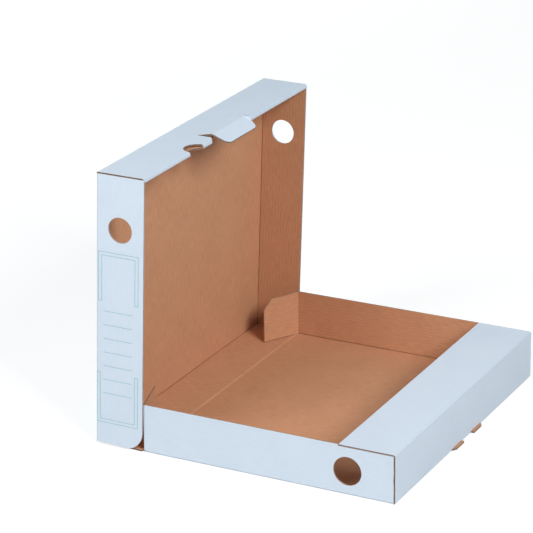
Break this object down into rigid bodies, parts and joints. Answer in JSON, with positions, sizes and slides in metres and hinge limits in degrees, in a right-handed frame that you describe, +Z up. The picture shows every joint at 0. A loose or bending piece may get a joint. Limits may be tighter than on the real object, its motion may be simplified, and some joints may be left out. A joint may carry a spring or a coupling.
{
  "type": "archive box",
  "caption": "Folding corrugated archive box for papers: shallow tray, hinged spine and a lid with finger holes and a lock tongue, shown half open.",
  "frame": {"origin": "on the table, under the middle of the half-open box", "axes": "+Z up, +X from the lid to the tray's closed end, +Y from the near side to the far side"},
  "size_m": [0.3002, 0.313, 0.2618],
  "materials": {
    "white_board": "white coated liner on the outside, bare kraft inside, matt",
    "kraft_board": "bare brown kraft liner with faint flute lines, matt"
  },
  "bodies": {
    "base": {"base_floor": "white_board", "base_near_wall": "white_board", "base_far_wall": "white_board", "base_end_wall": "white_board", "base_cover_strip": "white_board", "base_end_near_flap": "kraft_board", "base_end_far_flap": "kraft_board", "strip_near_tab": "white_board", "strip_far_tab": "white_board", "floor_crease": "kraft_board", "near_flap_crease": "kraft_board", "far_flap_crease": "kraft_board"},
    "spine": {"spine_panel": "white_board", "lid_crease": "kraft_board"},
    "lid": {"lid_panel": "white_board", "lid_near_wall": "white_board", "lid_far_wall": "white_board", "lid_front_wall": "white_board", "lid_front_lining": "white_board", "lid_near_flap": "kraft_board", "lid_far_flap": "kraft_board", "tongue_crease": "kraft_board"},
    "tongue": {"lock_tongue": "white_board"},
    "near_flap": {"near_corner_flap": "kraft_board"},
    "far_flap": {"far_corner_flap": "kraft_board"}
  },
  "joints": [
    {"name": "box_closing", "type": "hinge", "parent": "base", "child": "spine", "pos_m": [-0.10245, 0, 0.00075], "axis": [0, 1, 0], "range_deg": [-2.6, 87.4]},
    {"name": "lid_opening", "type": "hinge", "parent": "spine", "child": "lid", "pos_m": [-0.1494, 0, 0.00288], "axis": [0, 1, 0], "range_deg": [-90, 0]},
    {"name": "tongue_bend", "type": "hinge", "parent": "lid", "child": "tongue", "pos_m": [-0.09785, 0, 0.26088], "axis": [0, 1, 0], "range_deg": [-22, 0.67]},
    {"name": "near_flap_fold", "type": "hinge", "parent": "base", "child": "near_flap", "pos_m": [-0.10065, -0.15365, 0.02325], "axis": [0, 0, 1], "range_deg": [-38, 1.15]},
    {"name": "far_flap_fold", "type": "hinge", "parent": "base", "child": "far_flap", "pos_m": [-0.10065, 0.15365, 0.02325], "axis": [0, 0, 1], "range_deg": [-1.47, 48.5]}
  ],
  "couplings": [
    {"joint": "tongue_bend", "follows": "box_closing", "ratio": -0.25172},
    {"joint": "near_flap_fold", "follows": "box_closing", "ratio": -0.43478},
    {"joint": "far_flap_fold", "follows": "box_closing", "ratio": 0.55492}
  ]
}
